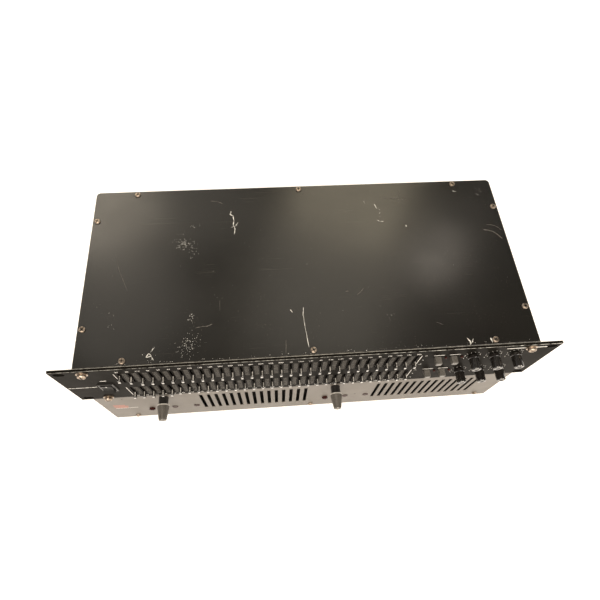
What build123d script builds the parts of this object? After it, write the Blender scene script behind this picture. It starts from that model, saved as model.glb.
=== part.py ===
from build123d import *
import os

# Rack-width stereo graphic equalizer, 4 rack units tall, in millimetres.
# X runs to the right seen from the front, Y runs to the back and Z runs up.
# The origin is the bottom centre of the whole object's box: Z = 0 is what the feet stand on.
# "Drop" is a distance down from the top surface of the cover.

# ---- Driving dimensions ----
RACK_WIDTH = 482.6
RACK_HOLE_SPACING_X = 465.1
RACK_HOLE_SPACING_Z = 76.2
RACK_SLOT_LENGTH = 10.3
RACK_SLOT_HEIGHT = 7.0
CHASSIS_WIDTH = 439.0
CHASSIS_DEPTH = 200.4
CHASSIS_HEIGHT = 176.5
FOOT_HEIGHT = 6.0
SHEET = 1.5
COVER_THICK = 1.6
COVER_GAP = 0.3
FLANGE = 15.0
SIDE_FLANGE = 9.0
FIT = 0.3
FOOT_X = 190.0
FOOT_INSET = 28.0
FOOT_RADIUS = 9.0
FOOT_TIP_RADIUS = 7.6
REAR_SCREW_DROPS = (30.0, 150.0)
REAR_SCREW_X = 90.0

UPPER_PANEL_HEIGHT = 88.1
UPPER_PANEL_THICK = 3.0
LOWER_PANEL_WIDTH = 463.0
LOWER_PANEL_DROP = 88.4
LOWER_PANEL_THICK = 2.0

# ---- Band sliders ----
BAND_LABELS = (
    "20", "25", "31_5", "40", "50", "63", "80", "100", "125", "160", "200", "250", "315",
    "400", "500", "630", "800", "1k", "1_25k", "1_6k", "2k", "2_5k", "3_15k", "4k", "5k",
    "6_3k", "8k", "10k", "12_5k", "16k", "20k",
)
FIRST_BAND_X = -182.0
BAND_PITCH = 9.44
UPPER_ROW_DROP = 25.0
LOWER_ROW_DROP = 67.0
# Where the caps stand, in millimetres above the middle of their slots. The first bands differ.
UPPER_SETTING = -4.5
LOWER_SETTING = -0.5
FIRST_BAND_SETTINGS = ((5.5, -6.0), (1.0, -6.0), (-4.5, -6.0), (-4.5, -6.0), (-4.5, -6.0))
SLIDER_SLOT_WIDTH = 2.2
SLIDER_SLOT_HEIGHT = 26.0
LEVER_WIDTH = 1.0
LEVER_HEIGHT = 4.0
LEVER_REACH = 6.0
CAP_WIDTH = 2.4
CAP_HEIGHT = 7.6
CAP_TIP_HEIGHT = 6.0
CAP_LENGTH = 5.6
CAP_TIP_RADIUS = 1.1
CAP_FACE_GAP = 0.6

# ---- Cans behind the sliders ----
SLIDE_CAN_WIDTH = 7.4
SLIDE_CAN_HEIGHT = 37.0
SLIDE_CAN_DEPTH = 7.5
SLIDE_CAN_GROOVE_WIDTH = 2.4
SLIDE_CAN_GROOVE_HEIGHT = 32.0
SLIDE_CAN_GROOVE_DEPTH = 5.5

# ---- Rotary and push controls on the upper panel ----
KNOB_COLUMNS = (158.0, 179.5, 201.0)
KNOB_ROW_DROPS = (18.5, 60.5)
KNOB_NAMES = (("upper_gain", "upper_low_cut", "upper_high_cut"),
              ("lower_gain", "lower_low_cut", "lower_high_cut"))
KNOB_RADIUS = 5.2
KNOB_TIP_RADIUS = 4.7
KNOB_LENGTH = 15.6
SHAFT_RADIUS = 3.0
SHAFT_REACH = 9.0
BUTTON_COLUMNS = (123.0, 139.0)
BUTTON_ROW_DROPS = (20.5, 60.5)
BUTTON_NAMES = (("upper_bypass", "upper_range"), ("lower_bypass", "lower_range"))
BUTTON_SIZE = 5.6
BUTTON_LENGTH = 7.5
BUTTON_TRAVEL = 3.0
BUTTON_LED_OFFSET = 8.5
BUTTON_LED_RADIUS = 1.4

# ---- Power rocker ----
ROCKER_X = -202.0
ROCKER_DROP = 49.5
ROCKER_TILT = 10.0
BEZEL_WIDTH = 15.0
BEZEL_HEIGHT = 22.0
BEZEL_THICK = 1.5
ROCKER_WIDTH = 10.4
ROCKER_BODY_WIDTH = 13.0
ROCKER_BODY_HEIGHT = 19.8

# ---- Lower section ----
LEVEL_KNOB_X = (-159.0, 30.0)
LEVEL_KNOB_NAMES = ("level_a", "level_b")
LEVEL_KNOB_DROP = 100.0
LEVEL_KNOB_RADIUS = 6.6
LEVEL_KNOB_TIP_RADIUS = 4.2
LEVEL_KNOB_LENGTH = 25.6
LEVEL_SKIRT_LENGTH = 8.5
LEVEL_SKIRT_RADIUS = 5.2
LEVEL_RIB_COUNT = 18
LEVEL_RIB_GAP = 0.7
LEVEL_RIB_DEPTH = 0.45
VENT_STARTS = (-119.6, 80.4)
VENTS_PER_BANK = 15
VENT_PITCH = 8.36
VENT_WIDTH = 3.8
VENT_TOP_DROP = 101.0
VENT_BOTTOM_DROP = 154.0
SIGNAL_LED_X = (-154.6, -129.6, 46.1, 71.0)
BEZEL_LED_X = (-181.0, 21.7)
LOWER_LED_DROP = 142.0
LOWER_LED_RADIUS = 2.4
LED_RING_RADIUS = 3.4
LED_RING_BORE = 2.45
SIGNAL_RING_THICK = 0.6
BEZEL_RING_THICK = 2.2

# ---- Screws ----
COVER_SCREW_EDGE = 4.8
COVER_SCREW_X = 175.5
COVER_SCREW_SIDE_Y = (38.3, 162.0)
PANEL_SCREW_X = 212.0
PANEL_SCREW_DROPS = (6.0, 82.2)
LOWER_SCREW_X = (-204.0, 6.0, 216.0)
LOWER_SCREW_DROP = 168.5
SHANK_RADIUS = 1.5
SHANK_HOLE_RADIUS = 1.7
LOWER_HOLE_X = -203.3
LOWER_HOLE_DROP = 97.8

# ---- Rear sockets ----
XLR_DROP = 42.0
XLR_X = (185.0, 150.0, 95.0, 60.0)
XLR_FLANGE_WIDTH = 26.0
XLR_FLANGE_HEIGHT = 31.0
XLR_BODY_RADIUS = 11.8
XLR_RECESS_RADIUS = 9.6
XLR_DEPTH = 18.0
XLR_CORE_RADIUS = 7.3
XLR_PIN_RADIUS = 1.2
XLR_PIN_PLACES = ((3.6, 0), (-3.6, 0), (0, -3.6))
SOCKET_WINDOW_HEIGHT = 24.4
XLR_WINDOW_WIDTH = 24.4
JACK_DROP = 42.0
JACK_X = (20.0, -5.0, -45.0, -70.0)
JACK_BORE_RADIUS = 3.25
JACK_BODY_WIDTH = 15.0
JACK_BODY_HEIGHT = 16.0
JACK_DEPTH = 22.0
JACK_PROUD = 4.5
JACK_FLANGE_WIDTH = 22.0
JACK_FLANGE_HEIGHT = 27.6
JACK_FLANGE_THICK = 1.2
JACK_WINDOW_WIDTH = 16.4
INLET_X = -180.0
INLET_DROP = 140.0
INLET_RECESS_WIDTH = 24.6
INLET_RECESS_HEIGHT = 16.6
INLET_BODY_WIDTH = 27.6
INLET_BODY_HEIGHT = 20.0
INLET_DEPTH = 18.0
INLET_FLANGE_WIDTH = 48.0
INLET_FLANGE_HEIGHT = 24.0
REAR_FLANGE = 2.0
REAR_VENT_COUNT = 14
REAR_VENT_START = 40.0
REAR_VENT_PITCH = 10.0
REAR_VENT_WIDTH = 3.0
REAR_VENT_DROP = 130.0
REAR_VENT_HEIGHT = 40.0

# ---- Derived places ----
TOP = FOOT_HEIGHT + CHASSIS_HEIGHT
FRONT_PROUD = LOWER_PANEL_THICK + LEVEL_KNOB_LENGTH
FRONT = (FRONT_PROUD - JACK_PROUD - CHASSIS_DEPTH) / 2
BACK = FRONT + CHASSIS_DEPTH
UPPER_FACE = FRONT - UPPER_PANEL_THICK
LOWER_FACE = FRONT - LOWER_PANEL_THICK
HALF_CHASSIS = CHASSIS_WIDTH / 2
FLOOR_TOP = FOOT_HEIGHT + SHEET
WALL_TOP = TOP - COVER_THICK

# ---- Inside pieces ----
BOARD_THICK = 1.6
SLIDER_BOARD_Y = FRONT + 13.0
CONTROL_BOARD_Y = FRONT + 21.0
FRONT_BOARD_DROPS = (86.0, 6.0)
CONTROL_BOARD_X = (114.0, 214.0)
LEVEL_BOARD_HALF_WIDTH = 12.0
LEVEL_BOARD_DROPS = (112.0, 89.0)
SOCKET_BOARD_X = (-90.0, 205.0)
SOCKET_BOARD_DROPS = (70.0, 12.0)
AMP_BOARD_X = (10.0, 205.0)
AMP_BOARD_Y = (BACK - 75.0, BACK - 8.0)
AMP_BOARD_LIFT = 8.0
AMP_STANDOFF_RADIUS = 3.0
CAPACITOR_COUNT = 4
CAPACITOR_RADIUS = 11.0
CAPACITOR_HEIGHT = 40.0
CAPACITOR_PITCH = 40.0
TRANSFORMER_X = -95.0
TRANSFORMER_Y = BACK - 62.0
TRANSFORMER_RADIUS = 48.0
TRANSFORMER_HOLE = 15.0
TRANSFORMER_HEIGHT = 42.0
WASHER_RADIUS = 24.0
WASHER_THICK = 1.5
BOLT_RADIUS = 4.0
SINK_Y = FRONT + 58.0
SINK_FIN_LENGTH = 25.0
SINK_BACK_THICK = 5.0
SINK_HEIGHT = 66.0
SINK_FINS = 16
SINK_FIN_THICK = 2.0


def at_drop(drop):
    """Height of a point that lies this far below the cover's top."""
    return TOP - drop


def block(x0, x1, y0, y1, z0, z1):
    """Box between two corners."""
    return Pos((x0 + x1) / 2, (y0 + y1) / 2, (z0 + z1) / 2) * Box(x1 - x0, y1 - y0, z1 - z0)


def block_at(x, z, width, height, y0, y1):
    """Box centred on x and z, between two depths."""
    return Pos(x, (y0 + y1) / 2, z) * Box(width, y1 - y0, height)


def rod_y(x, z, radius, y0, y1):
    """Cylinder along Y between two depths."""
    return Pos(x, (y0 + y1) / 2, z) * Rot(90, 0, 0) * Cylinder(radius, y1 - y0)


def rod_z(x, y, radius, z0, z1):
    """Upright cylinder between two heights."""
    return Pos(x, y, (z0 + z1) / 2) * Cylinder(radius, z1 - z0)


def turned_y(x, y, z, outline):
    """Solid turned about a line along Y. The outline is (radius, distance towards the front)."""
    points = [(radius, -reach) for radius, reach in outline]
    face = make_face(Polyline(*points, close=True))
    return Pos(x, y, z) * revolve(face, Axis.Y)


def group(solids):
    """Separate solids that share one node."""
    return Compound(children=list(solids))


def band_x(index):
    return FIRST_BAND_X + index * BAND_PITCH


def cross_slot(radius, depth):
    """Cross recess for a screw head, opening upwards at Z = 0."""
    blade = 0.55 * radius
    long_cut = Pos(0, 0, -depth / 2) * Box(1.5 * radius, 0.24 * radius, depth)
    return long_cut + Rot(0, 0, 90) * long_cut + Pos(0, 0, -depth / 2) * Box(blade, blade, depth)


def pan_screw(radius, height, shank_length, washer_radius=0.0, washer_thick=0.0):
    """Pan-head screw standing on Z = 0, with its shank below and an optional washer."""
    base = washer_thick
    head = Pos(0, 0, base + height / 2) * Cylinder(radius, height)
    head = fillet(head.edges().group_by(Axis.Z)[-1], 0.55 * height)
    head -= Pos(0, 0, base + height) * cross_slot(radius, 0.55 * height)
    head += rod_z(0, 0, SHANK_RADIUS, -shank_length, base + 0.3 * height)
    if washer_thick == 0:
        return [head]
    washer = Pos(0, 0, base / 2) * Cylinder(washer_radius, washer_thick)
    washer -= Pos(0, 0, base / 2) * Cylinder(SHANK_HOLE_RADIUS, washer_thick)
    return [head, washer]


def facing_front(x, z, face, pieces):
    """Puts pieces that stand on Z = 0 onto a front face, pointing at the viewer."""
    return [Pos(x, face, z) * Rot(90, 0, 0) * piece for piece in pieces]


# ---- Housing ----
def cover_screw_places():
    front = FRONT + COVER_SCREW_EDGE
    back = BACK - COVER_SCREW_EDGE
    side = HALF_CHASSIS - COVER_SCREW_EDGE
    places = [(x, y) for y in (front, back) for x in (-COVER_SCREW_X, 0, COVER_SCREW_X)]
    places += [(x, FRONT + y) for x in (-side, side) for y in COVER_SCREW_SIDE_Y]
    return places


def chassis_tray():
    back = BACK - SHEET
    inner = HALF_CHASSIS - SHEET
    tray = block(-HALF_CHASSIS, HALF_CHASSIS, FRONT, back, FOOT_HEIGHT, WALL_TOP)
    tray -= block(-inner, inner, FRONT - 1, back + 1, FLOOR_TOP, WALL_TOP + 1)
    for side in (-1, 1):
        low, high = sorted((side * inner, side * (inner - FLANGE)))
        tray += block(low, high, FRONT, back, WALL_TOP - SHEET, WALL_TOP)
        low, high = sorted((side * inner, side * (inner - SIDE_FLANGE)))
        tray += block(low, high, FRONT, FRONT + SHEET, FLOOR_TOP, WALL_TOP)
        tray += block(low, high, back - SHEET, back, FLOOR_TOP, WALL_TOP)
    tray += block(-inner, inner, FRONT, FRONT + SHEET, FLOOR_TOP, FLOOR_TOP + FLANGE)
    tray += block(-inner, inner, FRONT, FRONT + SHEET, WALL_TOP - 5, WALL_TOP)
    tray += block(-inner, inner, FRONT, FRONT + FLANGE, WALL_TOP - SHEET, WALL_TOP)
    tray += block(-inner, inner, back - SHEET, back, FLOOR_TOP, FLOOR_TOP + FLANGE)
    for x, y in cover_screw_places():
        tray -= rod_z(x, y, SHANK_HOLE_RADIUS, WALL_TOP - 6, WALL_TOP + 1)
    for x, z in upper_screw_places() + lower_screw_places():
        tray -= rod_y(x, z, SHANK_HOLE_RADIUS, FRONT - 1, FRONT + 3)
    for x, z in rear_screw_places():
        tray -= rod_y(x, z, SHANK_HOLE_RADIUS, back - 4, back + 1)
    for x, y in foot_places():
        tray -= rod_z(x, y, SHANK_HOLE_RADIUS, FOOT_HEIGHT - 1, FLOOR_TOP + 1)
    return tray


def top_cover():
    cover = block(-HALF_CHASSIS, HALF_CHASSIS, FRONT + COVER_GAP, BACK, WALL_TOP, TOP)
    back_corners = cover.edges().filter_by(Axis.Z).group_by(Axis.Y)[-1]
    cover = fillet(back_corners, 4.5)
    cover = chamfer(cover.faces().sort_by(Axis.Z)[-1].edges(), 0.35)
    for x, y in cover_screw_places():
        cover -= rod_z(x, y, SHANK_HOLE_RADIUS, WALL_TOP - 1, TOP + 1)
    return cover


def rear_screw_places():
    edge = HALF_CHASSIS - SHEET - SIDE_FLANGE / 2
    places = [(side * edge, at_drop(drop)) for side in (-1, 1) for drop in REAR_SCREW_DROPS]
    return places + [(x, FLOOR_TOP + FLANGE / 2) for x in (-REAR_SCREW_X, REAR_SCREW_X)]


def rear_panel():
    front = BACK - SHEET
    panel = block(-HALF_CHASSIS, HALF_CHASSIS, front, BACK, FOOT_HEIGHT, WALL_TOP)
    inner = HALF_CHASSIS - SHEET - FLANGE - 1
    panel += block(-inner, inner, front - FLANGE, front, WALL_TOP - SHEET, WALL_TOP)
    for x in XLR_X:
        panel -= block_at(x, at_drop(XLR_DROP), XLR_WINDOW_WIDTH, SOCKET_WINDOW_HEIGHT, front - 1, BACK + 1)
    for x in JACK_X:
        panel -= block_at(x, at_drop(JACK_DROP), JACK_WINDOW_WIDTH, SOCKET_WINDOW_HEIGHT, front - 1, BACK + 1)
    panel -= block_at(INLET_X, at_drop(INLET_DROP), INLET_BODY_WIDTH + 0.4, INLET_BODY_HEIGHT + 0.4,
                      front - 1, BACK + 1)
    for index in range(REAR_VENT_COUNT):
        x = REAR_VENT_START + index * REAR_VENT_PITCH
        panel -= block_at(x, at_drop(REAR_VENT_DROP), REAR_VENT_WIDTH, REAR_VENT_HEIGHT, front - 1, BACK + 1)
    for x, y in cover_screw_places():
        panel -= rod_z(x, y, SHANK_HOLE_RADIUS, WALL_TOP - 6, WALL_TOP + 1)
    for x, z in rear_screw_places():
        panel -= rod_y(x, z, SHANK_HOLE_RADIUS, front - 1, BACK + 1)
    return panel


def foot_places():
    return [(x, y) for x in (-FOOT_X, FOOT_X) for y in (FRONT + FOOT_INSET, BACK - FOOT_INSET)]


def rubber_feet():
    feet = []
    for x, y in foot_places():
        foot = Pos(x, y, FOOT_HEIGHT / 2) * Rot(180, 0, 0) * Cone(FOOT_RADIUS, FOOT_TIP_RADIUS, FOOT_HEIGHT)
        foot = fillet(foot.edges().group_by(Axis.Z)[0], 0.8)
        foot -= rod_z(x, y, 3.6, -1, 2.6)
        foot -= rod_z(x, y, SHANK_HOLE_RADIUS, 2, FOOT_HEIGHT + 1)
        feet.append(foot)
    return group(feet)


# ---- Front panels ----
def upper_screw_places():
    return [(side * PANEL_SCREW_X, at_drop(drop)) for side in (-1, 1) for drop in PANEL_SCREW_DROPS]


def lower_screw_places():
    return [(x, at_drop(LOWER_SCREW_DROP)) for x in LOWER_SCREW_X]


def upper_front_panel():
    half = RACK_WIDTH / 2
    bottom = at_drop(UPPER_PANEL_HEIGHT)
    panel = block(-half, half, UPPER_FACE, FRONT, bottom, TOP)
    panel = chamfer(panel.faces().sort_by(Axis.Y)[0].edges(), 0.5)
    middle = at_drop(UPPER_PANEL_HEIGHT / 2)
    cuts = []
    for side_x in (-1, 1):
        for side_z in (-1, 1):
            x = side_x * RACK_HOLE_SPACING_X / 2
            z = middle + side_z * RACK_HOLE_SPACING_Z / 2
            slot = Pos(x, FRONT, z) * Rot(90, 0, 0) * extrude(
                SlotOverall(RACK_SLOT_LENGTH, RACK_SLOT_HEIGHT), 2 * UPPER_PANEL_THICK, both=True)
            cuts.append(slot)
    for index in range(len(BAND_LABELS)):
        for drop in (UPPER_ROW_DROP, LOWER_ROW_DROP):
            cuts.append(block_at(band_x(index), at_drop(drop), SLIDER_SLOT_WIDTH,
                                 SLIDER_SLOT_HEIGHT, UPPER_FACE - 1, FRONT + 1))
    for drop in KNOB_ROW_DROPS:
        for x in KNOB_COLUMNS:
            cuts.append(rod_y(x, at_drop(drop), SHAFT_RADIUS + FIT, UPPER_FACE - 1, FRONT + 1))
    for drop in BUTTON_ROW_DROPS:
        for x in BUTTON_COLUMNS:
            size = BUTTON_SIZE + 0.8
            cuts.append(block_at(x, at_drop(drop), size, size, UPPER_FACE - 1, FRONT + 1))
            cuts.append(rod_y(x + BUTTON_LED_OFFSET, at_drop(drop), BUTTON_LED_RADIUS + 0.1,
                              UPPER_FACE - 1, FRONT + 1))
    cuts.append(block_at(ROCKER_X, at_drop(ROCKER_DROP), ROCKER_BODY_WIDTH + 0.4,
                         ROCKER_BODY_HEIGHT + 0.4, UPPER_FACE - 1, FRONT + 1))
    for x, z in upper_screw_places():
        cuts.append(rod_y(x, z, SHANK_HOLE_RADIUS, UPPER_FACE - 1, FRONT + 1))
    return panel - cuts


def vent_places():
    return [start + index * VENT_PITCH for start in VENT_STARTS for index in range(VENTS_PER_BANK)]


def lower_front_panel():
    half = LOWER_PANEL_WIDTH / 2
    panel = block(-half, half, LOWER_FACE, FRONT, FOOT_HEIGHT, at_drop(LOWER_PANEL_DROP))
    panel = chamfer(panel.faces().sort_by(Axis.Y)[0].edges(), 0.5)
    length = VENT_BOTTOM_DROP - VENT_TOP_DROP
    middle = at_drop((VENT_TOP_DROP + VENT_BOTTOM_DROP) / 2)
    cuts = []
    for x in vent_places():
        cuts.append(block_at(x, middle, VENT_WIDTH, length, LOWER_FACE - 1, FRONT + 1))
    for x in LEVEL_KNOB_X:
        cuts.append(rod_y(x, at_drop(LEVEL_KNOB_DROP), SHAFT_RADIUS + FIT, LOWER_FACE - 1, FRONT + 1))
    for x in SIGNAL_LED_X + BEZEL_LED_X:
        cuts.append(rod_y(x, at_drop(LOWER_LED_DROP), LOWER_LED_RADIUS + 0.1,
                          LOWER_FACE - 1, FRONT + 1))
    for x, z in lower_screw_places():
        cuts.append(rod_y(x, z, SHANK_HOLE_RADIUS, LOWER_FACE - 1, FRONT + 1))
    cuts.append(rod_y(LOWER_HOLE_X, at_drop(LOWER_HOLE_DROP), 1.0, LOWER_FACE - 1, FRONT + 1))
    return panel - cuts


def screws():
    """Every screw: on the cover, on the fronts, on the rear panel and in the feet."""
    screws = []
    for index, (x, y) in enumerate(cover_screw_places()):
        head = pan_screw(3.1, 1.7, 5.0)[0]
        screws.append(Pos(x, y, TOP) * Rot(0, 0, 23 * index) * head)
    for index, (x, z) in enumerate(upper_screw_places()):
        pieces = [Rot(0, 0, 31 * index) * piece for piece in pan_screw(4.0, 3.4, 7.0, 5.4, 1.1)]
        screws += facing_front(x, z, UPPER_FACE, pieces)
    for index, (x, z) in enumerate(lower_screw_places()):
        pieces = [Rot(0, 0, 40 * index) * piece for piece in pan_screw(2.9, 1.9, 6.0)]
        screws += facing_front(x, z, LOWER_FACE, pieces)
    for index, (x, z) in enumerate(rear_screw_places()):
        head = Rot(0, 0, 27 * index) * pan_screw(2.9, 1.9, 5.0)[0]
        screws.append(Pos(x, BACK, z) * Rot(-90, 0, 0) * head)
    for x, y in foot_places():
        screws.append(Pos(x, y, 2.6) * Rot(180, 0, 0) * pan_screw(3.0, 1.8, FOOT_HEIGHT + 1)[0])
    return group(screws)


# ---- Band sliders ----
def cap_drops(index):
    """Drops of a band's upper and lower caps."""
    upper, lower = UPPER_SETTING, LOWER_SETTING
    if index < len(FIRST_BAND_SETTINGS):
        upper, lower = FIRST_BAND_SETTINGS[index]
    return UPPER_ROW_DROP - upper, LOWER_ROW_DROP - lower


def slider(index, drop):
    """One slider: a thin blade cap on the lever that goes through the slot."""
    face = UPPER_FACE - CAP_FACE_GAP
    tip = face - CAP_LENGTH
    half_root = CAP_HEIGHT / 2
    half_tip = CAP_TIP_HEIGHT / 2
    outline = Polyline((face, -half_root), (tip, -half_tip), (tip, half_tip), (face, half_root),
                       close=True)
    cap = Pos(-CAP_WIDTH / 2, 0, 0) * extrude(Plane.YZ * make_face(outline), CAP_WIDTH)
    cap = fillet(cap.edges().filter_by(Axis.X).group_by(Axis.Y)[0], CAP_TIP_RADIUS)
    cap = chamfer(cap.faces().sort_by(Axis.Y)[0].edges(), 0.3)
    lever = block_at(0, 0, LEVER_WIDTH, LEVER_HEIGHT, face - 1, FRONT + LEVER_REACH)
    return Pos(band_x(index), 0, at_drop(drop)) * (cap + lever)


def slide_pot(index, drop):
    """Metal can behind the panel that the lever runs in."""
    x = band_x(index)
    z = at_drop(drop)
    front = FRONT + SHEET + 0.5
    can = block_at(x, z, SLIDE_CAN_WIDTH, SLIDE_CAN_HEIGHT, front, front + SLIDE_CAN_DEPTH)
    can -= block_at(x, z, SLIDE_CAN_GROOVE_WIDTH, SLIDE_CAN_GROOVE_HEIGHT, front - 1,
                    front + SLIDE_CAN_GROOVE_DEPTH)
    return can


# ---- Rotary controls ----
def knob(x, drop):
    """Straight-sided glossy knob on its shaft, with a pointer groove."""
    gap = 0.7
    outline = ((0, gap), (KNOB_RADIUS - 0.3, gap), (KNOB_RADIUS, gap + 0.3),
               (KNOB_RADIUS, gap + 3.0), (KNOB_RADIUS - 0.35, gap + 3.4),
               (KNOB_TIP_RADIUS, KNOB_LENGTH - 0.9), (KNOB_TIP_RADIUS - 0.3, KNOB_LENGTH - 0.3),
               (KNOB_TIP_RADIUS - 0.9, KNOB_LENGTH), (2.4, KNOB_LENGTH), (1.8, KNOB_LENGTH - 0.5),
               (0, KNOB_LENGTH - 0.5))
    z = at_drop(drop)
    body = turned_y(x, UPPER_FACE, z, outline)
    tip = UPPER_FACE - KNOB_LENGTH
    body -= block(x - 0.4, x + 0.4, tip - 1, tip + 0.5, z + 2.2, z + 6)
    body -= block(x - 0.4, x + 0.4, tip - 1, tip + 9, z + KNOB_TIP_RADIUS - 0.45, z + 6)
    return body + rod_y(x, z, SHAFT_RADIUS, UPPER_FACE - 3, FRONT + SHAFT_REACH)


def level_knob(x):
    """Long level knob: a thin skirt, a collar ring and a tapered grip with grooves along it."""
    gap = 0.5
    collar = LEVEL_SKIRT_LENGTH
    grip = collar + 2.0
    skirt = LEVEL_SKIRT_RADIUS
    radius = LEVEL_KNOB_RADIUS
    tip_radius = LEVEL_KNOB_TIP_RADIUS
    length = LEVEL_KNOB_LENGTH
    outline = ((0, gap), (skirt, gap), (skirt, collar), (radius - 0.3, collar + 0.2),
               (radius - 0.3, collar + 1.2), (skirt + 0.5, collar + 1.4), (skirt + 0.5, grip - 0.2),
               (radius, grip), (tip_radius, length - 1.0), (tip_radius - 0.3, length - 0.3),
               (tip_radius - 1.0, length), (0, length))
    z = at_drop(LEVEL_KNOB_DROP)
    body = turned_y(x, LOWER_FACE, z, outline)
    side = Polyline((-grip - 0.4, radius - LEVEL_RIB_DEPTH), (1.2 - length, tip_radius - LEVEL_RIB_DEPTH),
                    (1.2 - length, radius + 1), (-grip - 0.4, radius + 1), close=True)
    groove = Pos(-LEVEL_RIB_GAP / 2, 0, 0) * extrude(Plane.YZ * make_face(side), LEVEL_RIB_GAP)
    for index in range(LEVEL_RIB_COUNT):
        body -= Pos(x, LOWER_FACE, z) * Rot(0, 360 * index / LEVEL_RIB_COUNT, 0) * groove
    tip = LOWER_FACE - length
    body -= block(x - 0.4, x + 0.4, tip - 1, tip + 0.6, z + 0.8, z + radius)
    return body + rod_y(x, z, SHAFT_RADIUS, LOWER_FACE - 3, FRONT + SHAFT_REACH)


def rotary_pot(x, z):
    """Rotary potentiometer: square can with a round bore for the knob's shaft."""
    front = FRONT + 2.5
    can = block_at(x, z, 12.0, 13.0, front, front + 9.5)
    can -= rod_y(x, z, SHAFT_RADIUS + FIT, front - 1, FRONT + SHAFT_REACH + 1)
    return can


def potentiometer_bodies():
    pots = []
    for index in range(len(BAND_LABELS)):
        for drop in (UPPER_ROW_DROP, LOWER_ROW_DROP):
            pots.append(slide_pot(index, drop))
    pots += [rotary_pot(x, at_drop(drop)) for drop in KNOB_ROW_DROPS for x in KNOB_COLUMNS]
    pots += [rotary_pot(x, at_drop(LEVEL_KNOB_DROP)) for x in LEVEL_KNOB_X]
    return group(pots)


# ---- Push buttons and power rocker ----
def button(x, drop):
    """Square push button with its plunger."""
    z = at_drop(drop)
    tip = UPPER_FACE - BUTTON_LENGTH
    body = block_at(x, z, BUTTON_SIZE, BUTTON_SIZE, tip, FRONT + 6)
    body = chamfer(body.faces().sort_by(Axis.Y)[0].edges(), 0.5)
    return body


def rocker_outline():
    """Side outline of the rocker about its pivot, as (Y, Z)."""
    return ((-6.8, -7.6), (-5.4, -2.6), (-5.2, 0), (-5.4, 2.6), (-6.8, 7.6), (-3.0, 8.4),
            (2.0, 8.4), (4.0, 3.0), (4.0, -3.0), (2.0, -8.4), (-3.0, -8.4))


def power_rocker():
    face = make_face(Polyline(*rocker_outline(), close=True))
    body = Pos(-ROCKER_WIDTH / 2, 0, 0) * extrude(Plane.YZ * face, ROCKER_WIDTH)
    return Pos(ROCKER_X, FRONT, at_drop(ROCKER_DROP)) * Rot(-ROCKER_TILT, 0, 0) * body


def switch_bodies():
    z = at_drop(ROCKER_DROP)
    frame = block_at(ROCKER_X, z, BEZEL_WIDTH, BEZEL_HEIGHT, UPPER_FACE - BEZEL_THICK, UPPER_FACE)
    frame = chamfer(frame.faces().sort_by(Axis.Y)[0].edges(), 0.5)
    frame += block_at(ROCKER_X, z, ROCKER_BODY_WIDTH, ROCKER_BODY_HEIGHT, UPPER_FACE - 0.5, FRONT + 17)
    frame -= block_at(ROCKER_X, z, 11.6, 18.4, UPPER_FACE - 3, FRONT + 8)
    bodies = [frame]
    for drop in BUTTON_ROW_DROPS:
        for x in BUTTON_COLUMNS:
            body = block_at(x, at_drop(drop), 9.0, 9.0, FRONT + 2.5, FRONT + 20)
            body -= block_at(x, at_drop(drop), 6.6, 6.6, FRONT + 1, FRONT + 6 + BUTTON_TRAVEL + 1)
            bodies.append(body)
    return group(bodies)


def led_ring(x, thick):
    """Round bezel about a lamp on the lower panel."""
    z = at_drop(LOWER_LED_DROP)
    ring = rod_y(x, z, LED_RING_RADIUS, LOWER_FACE - thick, LOWER_FACE)
    return ring - rod_y(x, z, LED_RING_BORE, LOWER_FACE - thick - 1, LOWER_FACE + 1)


def indicator_leds():
    leds = []
    for drop in BUTTON_ROW_DROPS:
        for x in BUTTON_COLUMNS:
            led = rod_y(x + BUTTON_LED_OFFSET, at_drop(drop), BUTTON_LED_RADIUS,
                        UPPER_FACE - 1.6, FRONT + 3)
            leds.append(fillet(led.edges().group_by(Axis.Y)[0], 1.2))
    for x in SIGNAL_LED_X:
        led = rod_y(x, at_drop(LOWER_LED_DROP), LOWER_LED_RADIUS, LOWER_FACE - 0.4, FRONT + 3)
        leds.append(chamfer(led.edges().group_by(Axis.Y)[0], 0.2))
        leds.append(led_ring(x, SIGNAL_RING_THICK))
    for x in BEZEL_LED_X:
        lens = rod_y(x, at_drop(LOWER_LED_DROP), LOWER_LED_RADIUS, LOWER_FACE - 2.8, FRONT + 3)
        leds.append(fillet(lens.edges().group_by(Axis.Y)[0], 0.8))
        leds.append(led_ring(x, BEZEL_RING_THICK))
    return group(leds)


# ---- Inside ----
def board(x_range, y, drops):
    """Upright circuit board between two X values and two drops."""
    return block(x_range[0], x_range[1], y, y + BOARD_THICK, at_drop(drops[0]), at_drop(drops[1]))


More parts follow.
